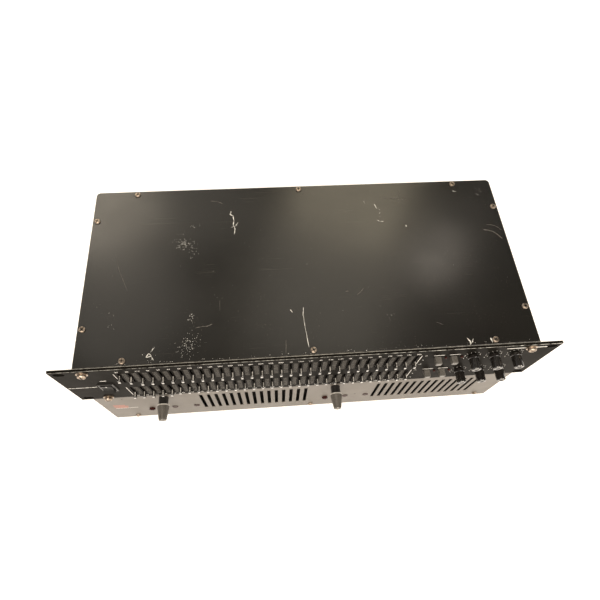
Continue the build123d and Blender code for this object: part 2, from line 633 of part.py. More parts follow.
def circuit_boards():
    bands = (FIRST_BAND_X - 6, band_x(len(BAND_LABELS) - 1) + 5)
    boards = [board(bands, SLIDER_BOARD_Y, FRONT_BOARD_DROPS)]
    boards.append(board(CONTROL_BOARD_X, CONTROL_BOARD_Y, FRONT_BOARD_DROPS))
    for x in LEVEL_KNOB_X:
        width = (x - LEVEL_BOARD_HALF_WIDTH, x + LEVEL_BOARD_HALF_WIDTH)
        boards.append(board(width, SLIDER_BOARD_Y, LEVEL_BOARD_DROPS))
    boards.append(board(SOCKET_BOARD_X, BACK - SHEET - JACK_DEPTH - 2, SOCKET_BOARD_DROPS))
    bottom = FLOOR_TOP + AMP_BOARD_LIFT
    boards.append(block(*AMP_BOARD_X, *AMP_BOARD_Y, bottom, bottom + BOARD_THICK))
    for x in (AMP_BOARD_X[0] + 6, AMP_BOARD_X[1] - 6):
        for y in (AMP_BOARD_Y[0] + 6, AMP_BOARD_Y[1] - 6):
            boards.append(rod_z(x, y, AMP_STANDOFF_RADIUS, FLOOR_TOP, bottom))
    top = bottom + BOARD_THICK
    middle = sum(AMP_BOARD_Y) / 2
    for index in range(CAPACITOR_COUNT):
        x = AMP_BOARD_X[0] + 30 + CAPACITOR_PITCH * index
        boards.append(rod_z(x, middle, CAPACITOR_RADIUS, top, top + CAPACITOR_HEIGHT))
    return group(boards)


def power_transformer():
    """Ring transformer with its dished washer and centre bolt, standing on the floor."""
    x, y = TRANSFORMER_X, TRANSFORMER_Y
    top = FLOOR_TOP + TRANSFORMER_HEIGHT
    ring = rod_z(x, y, TRANSFORMER_RADIUS, FLOOR_TOP, top) - rod_z(x, y, TRANSFORMER_HOLE, 0, TOP)
    ring = fillet(ring.edges().group_by(Axis.Z)[-1], 6.0)
    washer = rod_z(x, y, WASHER_RADIUS, top, top + WASHER_THICK)
    washer -= rod_z(x, y, BOLT_RADIUS + 0.2, top - 1, top + 3)
    nut = Pos(x, y, top + WASHER_THICK) * extrude(RegularPolygon(1.6 * BOLT_RADIUS, 6), 5.0)
    nut -= rod_z(x, y, BOLT_RADIUS, top, top + 8)
    bolt = rod_z(x, y, BOLT_RADIUS, FLOOR_TOP, top + 8)
    return group([ring, washer, bolt, nut])


def heat_sinks():
    sinks = []
    width = VENTS_PER_BANK * VENT_PITCH
    fin_end = SINK_Y + SINK_FIN_LENGTH
    for start in (VENT_STARTS[0] - 5, VENT_STARTS[1] - 5):
        top = FLOOR_TOP + SINK_HEIGHT
        sink = block(start, start + width, fin_end - 1, fin_end - 1 + SINK_BACK_THICK, FLOOR_TOP, top)
        for index in range(SINK_FINS):
            x = start + index * (width - SINK_FIN_THICK) / (SINK_FINS - 1)
            sink += block(x, x + SINK_FIN_THICK, SINK_Y, fin_end, FLOOR_TOP, top)
        sinks.append(sink)
    return group(sinks)


# ---- Rear sockets ----
def xlr_socket(x, is_output):
    """Round three-pole socket on a square flange. An input has a core, an output has pins."""
    z = at_drop(XLR_DROP)
    back = BACK + REAR_FLANGE
    bottom = BACK - XLR_DEPTH
    shell = block_at(x, z, XLR_FLANGE_WIDTH, XLR_FLANGE_HEIGHT, BACK, back)
    shell = chamfer(shell.faces().sort_by(Axis.Y)[-1].edges(), 0.4)
    shell += rod_y(x, z, XLR_BODY_RADIUS, bottom, BACK + 0.5)
    shell -= rod_y(x, z, XLR_RECESS_RADIUS, bottom + 2.5, back + 1)
    pieces = [shell]
    if is_output:
        for dx, dz in XLR_PIN_PLACES:
            pieces.append(rod_y(x + dx, z + dz, XLR_PIN_RADIUS, bottom + 2.5, BACK - 3.0))
    else:
        core = rod_y(x, z, XLR_CORE_RADIUS, bottom + 2.5, BACK)
        for dx, dz in XLR_PIN_PLACES:
            core -= rod_y(x + dx, z + dz, XLR_PIN_RADIUS + 0.2, bottom + 4, BACK + 1)
        pieces.append(core)
    return pieces


def jack_socket(x):
    """Quarter-inch jack socket: a box body on a flange, a hexagon nut and a threaded bush."""
    z = at_drop(JACK_DROP)
    flange_back = BACK + JACK_FLANGE_THICK
    inner = BACK - JACK_DEPTH
    body = block_at(x, z, JACK_FLANGE_WIDTH, JACK_FLANGE_HEIGHT, BACK, flange_back)
    body += block_at(x, z, JACK_BODY_WIDTH, JACK_BODY_HEIGHT, inner, BACK + 0.5)
    body += Pos(x, flange_back, z) * Rot(-90, 0, 0) * extrude(RegularPolygon(7.5, 6), 2.2)
    body += rod_y(x, z, 5.0, BACK, BACK + JACK_PROUD)
    return body - rod_y(x, z, JACK_BORE_RADIUS, inner + 2, BACK + JACK_PROUD + 1)


def xlr_sockets():
    pieces = []
    for index, x in enumerate(XLR_X):
        pieces += xlr_socket(x, index >= 2)
    return group(pieces)


def jack_sockets():
    return group(jack_socket(x) for x in JACK_X)


def mains_inlet():
    """Three-pole appliance inlet on a flange with two fixing holes."""
    z = at_drop(INLET_DROP)
    back = BACK + REAR_FLANGE
    bottom = BACK - INLET_DEPTH
    shell = block_at(INLET_X, z, INLET_FLANGE_WIDTH, INLET_FLANGE_HEIGHT, BACK, back)
    shell = chamfer(shell.faces().sort_by(Axis.Y)[-1].edges(), 0.5)
    shell += block_at(INLET_X, z, INLET_BODY_WIDTH, INLET_BODY_HEIGHT, bottom, BACK + 0.5)
    shell -= block_at(INLET_X, z, INLET_RECESS_WIDTH, INLET_RECESS_HEIGHT, bottom + 2.5, back + 1)
    for side in (-1, 1):
        shell -= rod_y(INLET_X + side * 20, z, 1.7, BACK - 1, back + 1)
    pieces = [shell]
    for dx, dz in ((-7.0, -2.0), (7.0, -2.0), (0.0, 2.0)):
        pieces.append(block_at(INLET_X + dx, z + dz, 2.0, 4.0, bottom + 2.5, BACK - 3.0))
    return group(pieces)


def main():
    os.makedirs("parts", exist_ok=True)
    nodes = {
        "chassis_tray": chassis_tray(),
        "top_cover": top_cover(),
        "rear_panel": rear_panel(),
        "upper_front_panel": upper_front_panel(),
        "lower_front_panel": lower_front_panel(),
        "screws": screws(),
        "rubber_feet": rubber_feet(),
        "potentiometer_bodies": potentiometer_bodies(),
        "switch_bodies": switch_bodies(),
        "indicator_leds": indicator_leds(),
        "circuit_boards": circuit_boards(),
        "power_transformer": power_transformer(),
        "heat_sinks": heat_sinks(),
        "xlr_sockets": xlr_sockets(),
        "jack_sockets": jack_sockets(),
        "mains_inlet": mains_inlet(),
        "power_rocker": power_rocker(),
    }
    for index, label in enumerate(BAND_LABELS):
        pair = [slider(index, drop) for drop in cap_drops(index)]
        nodes["slider_" + label] = group(pair)
    for row, drop in enumerate(KNOB_ROW_DROPS):
        for column, x in enumerate(KNOB_COLUMNS):
            nodes[KNOB_NAMES[row][column] + "_knob"] = knob(x, drop)
    for row, drop in enumerate(BUTTON_ROW_DROPS):
        for column, x in enumerate(BUTTON_COLUMNS):
            nodes[BUTTON_NAMES[row][column] + "_button"] = button(x, drop)
    for name, x in zip(LEVEL_KNOB_NAMES, LEVEL_KNOB_X):
        nodes[name + "_knob"] = level_knob(x)
    for name, shape in nodes.items():
        export_step(shape, os.path.join("parts", name + ".step"))


main()
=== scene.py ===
import bmesh
import bpy
import math
import random
from mathutils import Matrix, Vector


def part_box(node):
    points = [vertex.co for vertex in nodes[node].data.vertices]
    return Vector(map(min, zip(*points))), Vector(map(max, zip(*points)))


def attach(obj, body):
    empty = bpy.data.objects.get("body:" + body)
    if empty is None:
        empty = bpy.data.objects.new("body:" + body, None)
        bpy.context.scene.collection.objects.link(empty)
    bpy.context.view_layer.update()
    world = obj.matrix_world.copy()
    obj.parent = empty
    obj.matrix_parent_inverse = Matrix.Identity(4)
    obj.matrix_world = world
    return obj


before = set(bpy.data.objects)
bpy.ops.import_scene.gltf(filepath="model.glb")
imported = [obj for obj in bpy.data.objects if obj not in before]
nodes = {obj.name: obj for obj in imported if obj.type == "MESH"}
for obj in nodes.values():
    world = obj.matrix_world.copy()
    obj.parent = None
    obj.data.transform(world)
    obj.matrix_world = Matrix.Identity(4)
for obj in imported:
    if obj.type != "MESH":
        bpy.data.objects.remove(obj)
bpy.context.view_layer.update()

# ---- Places read from the frame, in metres ----
MM = 0.001
COVER_LOW, COVER_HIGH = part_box("top_cover")
PANEL_LOW, PANEL_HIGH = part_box("upper_front_panel")
LOWER_LOW, LOWER_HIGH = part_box("lower_front_panel")
REAR_LOW, REAR_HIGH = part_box("rear_panel")
TOP_Z = COVER_HIGH.z
FRONT_Y = PANEL_HIGH.y
FACE_Y = PANEL_LOW.y
LOWER_FACE_Y = LOWER_LOW.y
PRINT_LIFT = 0.03 * MM
PRINT_THICK = 0.05 * MM


def at_drop(millimetres):
    """Height of a point this far below the cover's top."""
    return TOP_Z - millimetres * MM


# ---- Shader helpers ----
class Look:
    """A material with a Principled shader, and short ways to add nodes to it."""

    def __init__(self, name, roughness=0.5, metallic=0.0, specular=0.5):
        self.material = bpy.data.materials.new(name)
        self.material.use_nodes = True
        self.tree = self.material.node_tree
        self.shader = self.tree.nodes["Principled BSDF"]
        self.shader.inputs["Roughness"].default_value = roughness
        self.shader.inputs["Metallic"].default_value = metallic
        self.shader.inputs["Specular IOR Level"].default_value = specular
        self.place = self.tree.nodes.new("ShaderNodeTexCoord").outputs["Object"]

    def feed(self, socket, value):
        """Links a socket, or sets its value."""
        if isinstance(value, bpy.types.NodeSocket):
            self.tree.links.new(value, socket)
        else:
            socket.default_value = value

    def set(self, name, value):
        self.feed(self.shader.inputs[name], value)

    def math(self, operation, a, b=0.0, clamp=False):
        made = self.tree.nodes.new("ShaderNodeMath")
        made.operation = operation
        made.use_clamp = clamp
        self.feed(made.inputs[0], a)
        self.feed(made.inputs[1], b)
        return made.outputs[0]

    def noise(self, scale, detail=3.0, roughness=0.5, stretch=(1, 1, 1), turn=(0, 0, 0), offset=0.0):
        """Noise about `scale` features a metre, stretched along an axis if asked."""
        mapping = self.tree.nodes.new("ShaderNodeMapping")
        mapping.inputs["Scale"].default_value = [scale * s for s in stretch]
        mapping.inputs["Rotation"].default_value = turn
        mapping.inputs["Location"].default_value = (offset, offset, offset)
        self.tree.links.new(self.place, mapping.inputs["Vector"])
        made = self.tree.nodes.new("ShaderNodeTexNoise")
        made.inputs["Scale"].default_value = 1.0
        made.inputs["Detail"].default_value = detail
        made.inputs["Roughness"].default_value = roughness
        self.tree.links.new(mapping.outputs["Vector"], made.inputs["Vector"])
        return made.outputs[0]

    def window(self, value, low, high, bottom=0.0, top=1.0):
        """Maps low..high to bottom..top and holds it there."""
        made = self.tree.nodes.new("ShaderNodeMapRange")
        made.clamp = True
        self.feed(made.inputs["Value"], value)
        made.inputs["From Min"].default_value = low
        made.inputs["From Max"].default_value = high
        made.inputs["To Min"].default_value = bottom
        made.inputs["To Max"].default_value = top
        return made.outputs["Result"]

    def mix(self, factor, a, b):
        made = self.tree.nodes.new("ShaderNodeMix")
        made.data_type = "RGBA"
        self.feed(made.inputs[0], factor)
        self.feed(made.inputs[6], a)
        self.feed(made.inputs[7], b)
        return made.outputs[2]

    def axis(self, name):
        """One coordinate of the point, in metres."""
        made = self.tree.nodes.new("ShaderNodeSeparateXYZ")
        self.tree.links.new(self.place, made.inputs[0])
        return made.outputs[name]

    def bump(self, height, strength, distance):
        made = self.tree.nodes.new("ShaderNodeBump")
        made.inputs["Strength"].default_value = strength
        made.inputs["Distance"].default_value = distance
        self.tree.links.new(height, made.inputs["Height"])
        self.tree.links.new(made.outputs["Normal"], self.shader.inputs["Normal"])

    def edge_wear(self, low, high, width, patchiness=0.5):
        """1 along the edges of the box low..high and 0 away from them, broken up by noise."""
        gaps = []
        for axis, low_end, high_end in zip("XYZ", low, high):
            value = self.axis(axis)
            from_low = self.math("SUBTRACT", value, low_end)
            from_high = self.math("SUBTRACT", high_end, value)
            gaps.append(self.math("MINIMUM", from_low, from_high))
        smaller = self.math("MINIMUM", gaps[0], gaps[1])
        larger = self.math("MAXIMUM", gaps[0], gaps[1])
        middle = self.math("MAXIMUM", smaller, self.math("MINIMUM", larger, gaps[2]))
        broken = self.noise(260, 4, 0.65)
        reach = self.window(broken, 0.25, 0.8, width * (1 - patchiness), width * (1 + patchiness))
        return self.window(self.math("DIVIDE", middle, reach), 0.7, 1.15, 1.0, 0.0)


def rgb(red, green, blue):
    return (red, green, blue, 1.0)


# ---- Materials ----
# Where the painted shade on the vents' walls begins behind the panel's face, and how soft that border is.
WALL_START = 0.5 * MM
WALL_BLEND = 0.2 * MM
# Near-black colour painted on the cut-out walls as shade.
WALL_PAINTED_SHADE = rgb(0.008, 0.007, 0.006)
BLACK_DARK = rgb(0.006, 0.0053, 0.0042)
BLACK_LIGHT = rgb(0.0095, 0.0085, 0.0066)
# How far the level knob's skirt and its collar ring reach from the panel.
SKIRT_REACH = 8.4 * MM
COLLAR_REACH = 9.9 * MM
REACH_BLEND = 0.1 * MM


def painted_steel(name, dark, light, rough_low, rough_high, low, high, wear_width,
                  bare=rgb(0.62, 0.58, 0.50), dust=rgb(0.30, 0.27, 0.22), specular=0.5,
                  tint=rgb(1, 1, 1), shade_cut_out_walls=False):
    """Satin enamel on sheet steel: cloudy colour, smudges, fine scratches, dust and worn edges.

    `low` and `high` are the sheet's box, which the wear follows. When asked, the walls of
    the sheet's cut-outs are painted near-black as shade.
    """
    look = Look(name, specular=specular)
    look.set("Specular Tint", tint)
    cloud = look.window(look.noise(9, 4, 0.6), 0.3, 0.7)
    colour = look.mix(cloud, dark, light)
    specks = look.window(look.noise(900, 2, 0.6), 0.70, 0.76)
    patches = look.window(look.noise(30, 3, 0.6, offset=4.0), 0.45, 0.7)
    colour = look.mix(look.math("MULTIPLY", specks, look.math("MULTIPLY", patches, 0.55)), colour, dust)
    scratches = None
    for turn, offset in ((0.3, 0.0), (1.2, 7.0), (2.4, 13.0)):
        line = look.window(look.noise(60, 2, 0.5, (0.12, 14, 14), (0, 0, turn), offset), 0.70, 0.74)
        scratches = line if scratches is None else look.math("MAXIMUM", scratches, line)
    sparse = look.window(look.noise(22, 2, 0.5, offset=9.0), 0.5, 0.62)
    scratches = look.math("MULTIPLY", scratches, sparse)
    colour = look.mix(look.math("MULTIPLY", scratches, 0.08), colour, dust)
    worn = look.edge_wear(low, high, wear_width)
    colour = look.mix(worn, colour, bare)
    # Painted shade: the cut-out walls behind the sheet's face are coloured near-black.
    if shade_cut_out_walls:
        wall_shade = look.window(look.axis("Y"), low.y + WALL_START, low.y + WALL_START + WALL_BLEND)
        colour = look.mix(wall_shade, colour, WALL_PAINTED_SHADE)
    look.set("Base Color", colour)
    look.set("Metallic", look.math("MULTIPLY", worn, 0.7))
    smudge = look.window(look.noise(16, 5, 0.6, offset=2.0), 0.3, 0.72, rough_low, rough_high)
    look.set("Roughness", look.math("SUBTRACT", smudge, look.math("MULTIPLY", worn, 0.08)))
    peel = look.math("ADD", look.noise(1500, 2, 0.5), look.math("MULTIPLY", look.noise(260, 2, 0.5), 0.8))
    look.bump(peel, 0.10, 0.00004)
    return look.material


def plastic(name, dark, light, roughness, spread=0.08, grain=2600, grain_strength=0.12, coat=0.0,
            specular=0.5):
    """Moulded plastic with a fine grain, uneven gloss and a little dust."""
    look = Look(name, specular=specular)
    cloud = look.window(look.noise(140, 3, 0.6), 0.3, 0.7)
    colour = look.mix(cloud, dark, light)
    dusty = look.window(look.noise(1400, 2, 0.6, offset=3.0), 0.68, 0.76)
    colour = look.mix(look.math("MULTIPLY", dusty, 0.18), colour, rgb(0.35, 0.32, 0.28))
    look.set("Base Color", colour)
    gloss = look.window(look.noise(220, 3, 0.6, offset=5.0), 0.3, 0.7, roughness - spread, roughness + spread)
    look.set("Roughness", gloss)
    look.set("Coat Weight", coat)
    look.set("Coat Roughness", 0.08)
    look.bump(look.noise(grain, 2, 0.5), grain_strength, 0.00002)
    return look.material


def bare_metal(name, base, tarnish, roughness, stretch=(1, 1, 1), scale=300, spread=0.12):
    """Bare or plated metal with a brushed or mottled finish and tarnish."""
    look = Look(name, metallic=1.0)
    mottle = look.window(look.noise(scale * 0.5, 5, 0.65, offset=1.0), 0.38, 0.66)
    look.set("Base Color", look.mix(mottle, base, tarnish))
    brushed = look.noise(scale * 4, 3, 0.6, stretch)
    look.set("Roughness", look.window(brushed, 0.3, 0.7, roughness - spread, roughness + spread))
    look.bump(brushed, 0.15, 0.00003)
    return look.material


def level_knob_finish():
    """Level knob: black skirt, pale collar ring and warm grey grip, told apart by their reach."""
    look = Look("level_knob_plastic")
    reach = look.math("SUBTRACT", LOWER_FACE_Y, look.axis("Y"))
    past_skirt = look.window(reach, SKIRT_REACH - REACH_BLEND, SKIRT_REACH + REACH_BLEND)
    past_collar = look.window(reach, COLLAR_REACH - REACH_BLEND, COLLAR_REACH + REACH_BLEND)
    cloud = look.window(look.noise(300, 3, 0.6), 0.3, 0.7)
    grip = look.mix(cloud, rgb(0.075, 0.067, 0.056), rgb(0.105, 0.095, 0.081))
    ring = look.mix(cloud, rgb(0.40, 0.38, 0.34), rgb(0.55, 0.53, 0.49))
    front = look.mix(past_collar, ring, grip)
    look.set("Base Color", look.mix(past_skirt, rgb(0.010, 0.009, 0.008), front))
    look.set("Roughness", look.window(look.noise(220, 3, 0.6, offset=5.0), 0.3, 0.7, 0.28, 0.42))
    look.bump(look.noise(2600, 2, 0.5), 0.12, 0.00002)
    return look.material


def flat_mark_paint(name, colour, worn_colour, wear_low=0.56, wear_high=0.72):
    """Flat colour, rubbed thin here and there: screen print and wear marks, and also a painted highlight and
    a recess fill.
    """
    look = Look(name, roughness=0.55)
    rubbed = look.window(look.noise(700, 3, 0.6), wear_low, wear_high)
    look.set("Base Color", look.mix(rubbed, colour, worn_colour))
    look.bump(look.noise(3000, 2, 0.5), 0.1, 0.00001)
    return look.material


def lens(name, deep, pale):
    """Tinted lamp lens: deep colour with paler patches, and only a weak reflection."""
    look = Look(name, specular=0.05)
    cloud = look.window(look.noise(900, 2, 0.5), 0.35, 0.65)
    look.set("Base Color", look.mix(cloud, deep, pale))
    look.set("Roughness", look.window(look.noise(500, 2, 0.5, offset=2.0), 0.3, 0.7, 0.12, 0.26))
    return look.material


def circuit_board():
    """Green solder mask with the tracks under it showing as a paler pattern."""
    look = Look("circuit_board", roughness=0.35)
    across = look.window(look.noise(120, 0, 0.5, (0.1, 3, 1)), 0.49, 0.51)
    along = look.window(look.noise(120, 0, 0.5, (3, 0.1, 1), offset=5.0), 0.49, 0.51)
    tracks = look.math("MULTIPLY", across, along)
    look.set("Base Color", look.mix(tracks, rgb(0.02, 0.10, 0.04), rgb(0.05, 0.22, 0.09)))
    look.bump(tracks, 0.3, 0.00005)
    return look.material


def winding():
    """Yellow-brown tape wound over the ring transformer."""
    look = Look("winding_tape", roughness=0.4)
    bands = look.noise(500, 1, 0.5, (1, 1, 0.05))
    overlap = look.window(bands, 0.4, 0.6)
    look.set("Base Color", look.mix(overlap, rgb(0.36, 0.24, 0.05), rgb(0.50, 0.36, 0.10)))
    look.bump(bands, 0.4, 0.0002)
    return look.material


def floor_paint():
    """Plain pale studio floor."""
    look = Look("studio_floor", roughness=0.7)
    look.set("Base Color", look.mix(look.noise(3, 2, 0.5), rgb(0.84, 0.81, 0.77), rgb(0.86, 0.83, 0.79)))
    look.set("Emission Color", rgb(1.0, 0.96, 0.92))
    look.set("Emission Strength", 0.5)
    return look.material


def tray_finish(low, high):
    """Zinc-plated sheet inside, its colour darkened as painted shade; black enamel on the outer sides and
    underneath.
    """
    look = Look("tray_finish")
    half = high.x
    across = look.math("ABSOLUTE", look.axis("X"))
    outside = look.window(across, half - 0.4 * MM, half - 0.2 * MM)
    under = look.window(look.axis("Z"), low.z + 0.2 * MM, low.z + 0.4 * MM, 1.0, 0.0)
    painted = look.math("MAXIMUM", outside, under)
    mottle = look.window(look.noise(150, 5, 0.65), 0.38, 0.66)
    # Mottled zinc colour, darkened below bare zinc as painted shade inside the chassis.
    shaded_zinc = look.mix(mottle, rgb(0.22, 0.21, 0.19), rgb(0.13, 0.125, 0.11))
    cloud = look.window(look.noise(9, 4, 0.6, offset=3.0), 0.3, 0.7)
    worn = look.edge_wear(low, high, 0.4 * MM)
    black = look.mix(worn, look.mix(cloud, BLACK_DARK, BLACK_LIGHT), rgb(0.5, 0.46, 0.4))
    look.set("Base Color", look.mix(painted, shaded_zinc, black))
    look.set("Metallic", look.math("SUBTRACT", 1.0, painted))
    look.set("Roughness", look.window(look.noise(20, 5, 0.6, offset=2.0), 0.3, 0.7, 0.32, 0.48))
    look.bump(look.noise(1200, 2, 0.5), 0.10, 0.00004)
    return look.material


cover_paint = painted_steel("cover_enamel", BLACK_DARK, BLACK_LIGHT, 0.21, 0.27,
                            COVER_LOW, COVER_HIGH, 0.22 * MM, rgb(0.40, 0.37, 0.32))
panel_paint = painted_steel("panel_enamel", rgb(0.006, 0.0053, 0.0045), rgb(0.009, 0.008, 0.0065),
                            0.36, 0.48, PANEL_LOW, PANEL_HIGH, 0.35 * MM, rgb(0.50, 0.48, 0.43),
                            specular=0.012, tint=rgb(1.0, 0.88, 0.76))
rear_paint = painted_steel("rear_enamel", BLACK_DARK, BLACK_LIGHT, 0.34, 0.5,
                           REAR_LOW, REAR_HIGH, 0.3 * MM)
# The vents' walls and the sheet's edges in this paint get painted near-black shade.
lower_paint = painted_steel("lower_panel_paint", rgb(0.095, 0.083, 0.069), rgb(0.120, 0.105, 0.088),
                            0.36, 0.5, LOWER_LOW, LOWER_HIGH, 0.4 * MM, rgb(0.5, 0.47, 0.42),
                            rgb(0.26, 0.235, 0.20), specular=0.4, shade_cut_out_walls=True)
worn_screw = bare_metal("worn_screw", rgb(0.54, 0.44, 0.35), rgb(0.13, 0.10, 0.075), 0.36, scale=700)
can_metal = bare_metal("can_metal", rgb(0.36, 0.36, 0.34), rgb(0.24, 0.24, 0.23), 0.40, (0.2, 5, 5))
fin_metal = bare_metal("anodised_fins", rgb(0.035, 0.034, 0.033), rgb(0.020, 0.020, 0.019), 0.42, (5, 5, 0.1))
socket_metal = bare_metal("socket_metal", rgb(0.10, 0.10, 0.10), rgb(0.05, 0.05, 0.05), 0.38, scale=400)
knob_gloss = plastic("knob_gloss", rgb(0.009, 0.008, 0.007), rgb(0.014, 0.012, 0.010), 0.18, 0.06,
                     2200, 0.05, 0.5)
switch_plastic = plastic("switch_plastic", rgb(0.012, 0.011, 0.010), rgb(0.018, 0.016, 0.014), 0.34)
rocker_plastic = plastic("rocker_plastic", rgb(0.006, 0.0055, 0.005), rgb(0.010, 0.009, 0.008), 0.40,
                         specular=0.12)
button_plastic = plastic("button_plastic", rgb(0.085, 0.080, 0.071), rgb(0.125, 0.117, 0.104), 0.28)
cap_plastic = plastic("slider_cap_plastic", rgb(0.012, 0.011, 0.010), rgb(0.020, 0.018, 0.016), 0.22, 0.06,
                      2400, 0.06, 0.4)
level_plastic = level_knob_finish()
foot_rubber = plastic("foot_rubber", rgb(0.018, 0.018, 0.018), rgb(0.03, 0.03, 0.03), 0.8, 0.08, 900, 0.3)
white_ink = flat_mark_paint("white_ink", rgb(0.82, 0.79, 0.74), rgb(0.34, 0.32, 0.29))
pointer_ink = flat_mark_paint("pointer_ink", rgb(0.90, 0.88, 0.84), rgb(0.70, 0.68, 0.64))
# Pale strip along the slider caps' tops: a painted highlight of their lit top faces.
cap_line_ink = flat_mark_paint("cap_line_ink", rgb(0.44, 0.42, 0.38), rgb(0.10, 0.094, 0.084), 0.42, 0.66)
grey_ink = flat_mark_paint("grey_ink", rgb(0.19, 0.175, 0.155), rgb(0.08, 0.072, 0.064))
dark_ink = flat_mark_paint("dark_ink", rgb(0.035, 0.031, 0.027), rgb(0.07, 0.062, 0.054))
red_ink = flat_mark_paint("red_ink", rgb(0.40, 0.145, 0.105), rgb(0.24, 0.16, 0.125), 0.5, 0.7)
scratch_mark = flat_mark_paint("scratched_paint", rgb(0.72, 0.70, 0.65), rgb(0.20, 0.19, 0.165), 0.52, 0.70)
faint_mark = flat_mark_paint("rubbed_paint", rgb(0.11, 0.10, 0.085), rgb(0.035, 0.031, 0.026), 0.42, 0.62)
# Near-black fill for the screw heads' cross recesses.
recess_fill_paint = flat_mark_paint("recess_grime", rgb(0.010, 0.008, 0.006), rgb(0.028, 0.022, 0.016))
smoked_lens = lens("lamp_lens", rgb(0.018, 0.007, 0.006), rgb(0.045, 0.014, 0.011))

NODE_LOOKS = {
    "top_cover": cover_paint,
    "chassis_tray": tray_finish(*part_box("chassis_tray")),
    "rear_panel": rear_paint,
    "upper_front_panel": panel_paint,
    "lower_front_panel": lower_paint,
    "rubber_feet": foot_rubber,
    "potentiometer_bodies": can_metal,
    "switch_bodies": switch_plastic,
    "indicator_leds": smoked_lens,
    "circuit_boards": circuit_board(),
    "power_transformer": winding(),
    "heat_sinks": fin_metal,
    "mains_inlet": switch_plastic,
    "power_rocker": rocker_plastic,
}


def look_for(name):
    if name in NODE_LOOKS:
        return NODE_LOOKS[name]
    if name.startswith("slider_"):
        return cap_plastic
    if name.startswith("level_"):
        return level_plastic
    if name.endswith("_button"):
        return button_plastic
    if name.endswith("screws"):
        return worn_screw
    if name.endswith("sockets"):
        return socket_metal
    return knob_gloss


for name, node in nodes.items():
    node.data.materials.clear()
    node.data.materials.append(look_for(name))


# ---- Mesh building ----
class Builder:
    """Collects small shapes into one mesh piece."""

    def __init__(self):
        self.mesh = bmesh.new()

    def box(self, low, high):
        corners = [(x, y, z) for x in (low[0], high[0]) for y in (low[1], high[1])
                   for z in (low[2], high[2])]
        points = [self.mesh.verts.new(corner) for corner in corners]
        for face in ((0, 1, 3, 2), (4, 6, 7, 5), (0, 4, 5, 1), (2, 3, 7, 6), (0, 2, 6, 4), (1, 5, 7, 3)):
            self.mesh.faces.new([points[i] for i in face])

    def bar(self, x, z, width, height, face_y):
        """A printed bar on a front face, centred on x and z."""
        front = face_y - PRINT_LIFT - PRINT_THICK
        back = face_y - PRINT_LIFT
        self.box((x - width / 2, front, z - height / 2), (x + width / 2, back, z + height / 2))

    def dot(self, x, z, radius, face_y, sides=12):
        """A printed round dot on a front face."""
        angles = [2 * math.pi * i / sides for i in range(sides)]
        rims = []
        for y in (face_y - PRINT_LIFT, face_y - PRINT_LIFT - PRINT_THICK):
            rims.append([self.mesh.verts.new((x + radius * math.cos(a), y, z + radius * math.sin(a)))
                         for a in angles])
        self.mesh.faces.new(rims[0])
        self.mesh.faces.new(reversed(rims[1]))
        for i in range(sides):
            j = (i + 1) % sides
            self.mesh.faces.new((rims[0][i], rims[1][i], rims[1][j], rims[0][j]))

    def dial(self, spot, radius, dot_radius, face_y):
        """Dots over a knob's sweep, in a circle about its middle."""
        for step in range(DIAL_DOTS):
            angle = math.radians(-KNOB_SWEEP + 2 * KNOB_SWEEP * step / (DIAL_DOTS - 1))
            x = spot.x + radius * math.sin(angle)
            self.dot(x, spot.z + radius * math.cos(angle), dot_radius, face_y)

    def text(self, words, x, z, size, face_y):
        """Raised text on a front face."""
        curve = bpy.data.curves.new("number", "FONT")
        curve.body = words
        curve.size = size
        curve.align_x = "CENTER"
        curve.align_y = "CENTER"
        curve.extrude = PRINT_THICK / 2
        curve.resolution_u = 2
        holder = bpy.data.objects.new("number", curve)
        letters = bpy.data.meshes.new_from_object(holder)
        turn = Matrix.Rotation(math.radians(90), 4, "X")
        letters.transform(Matrix.Translation((x, face_y, z)) @ turn)
        self.mesh.from_mesh(letters)
        bpy.data.meshes.remove(letters)
        bpy.data.objects.remove(holder)
        bpy.data.curves.remove(curve)

    def skin(self, rows):
        """Joins rows of four corners into one closed strip."""
        for first, second in zip(rows, rows[1:]):
            for i in range(4):
                j = (i + 1) % 4
                self.mesh.faces.new((first[i], first[j], second[j], second[i]))
        self.mesh.faces.new(reversed(rows[0]))
        self.mesh.faces.new(rows[-1])

    def streak(self, points, widths, z):
        """A flat mark on the cover that follows points, with a width at each one."""
        rows = []
        for index, point in enumerate(points):
            before = Vector(points[max(index - 1, 0)])
            after = Vector(points[min(index + 1, len(points) - 1)])
            along = (after - before).normalized()
            side = Vector((-along.y, along.x)) * widths[index] / 2
            spot = Vector(point)
            low, high = z + PRINT_LIFT, z + PRINT_LIFT + PRINT_THICK
            rows.append([self.mesh.verts.new((spot.x + s * side.x, spot.y + s * side.y, height))
                         for s, height in ((-1, low), (1, low), (1, high), (-1, high))])
        self.skin(rows)

    def ribbon(self, x, width, profile, thick):
        """A strip that follows a profile of (Y, Z) points, sunk by its thickness at its inner side."""
        rows = []
        for y, z in profile:
            rows.append([self.mesh.verts.new((x + s * width / 2, y + sink, z - sink))
                         for s, sink in ((-1, 0), (1, 0), (1, thick), (-1, thick))])
        self.skin(rows)

    def piece(self, name, material, body):
        bmesh.ops.recalc_face_normals(self.mesh, faces=self.mesh.faces)
        data = bpy.data.meshes.new(name)
        self.mesh.to_mesh(data)
        self.mesh.free()
        data.materials.append(material)
        made = bpy.data.objects.new(name, data)
        bpy.context.scene.collection.objects.link(made)
        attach(made, body)


def centre(name):
    low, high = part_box(name)
    return (low + high) / 2


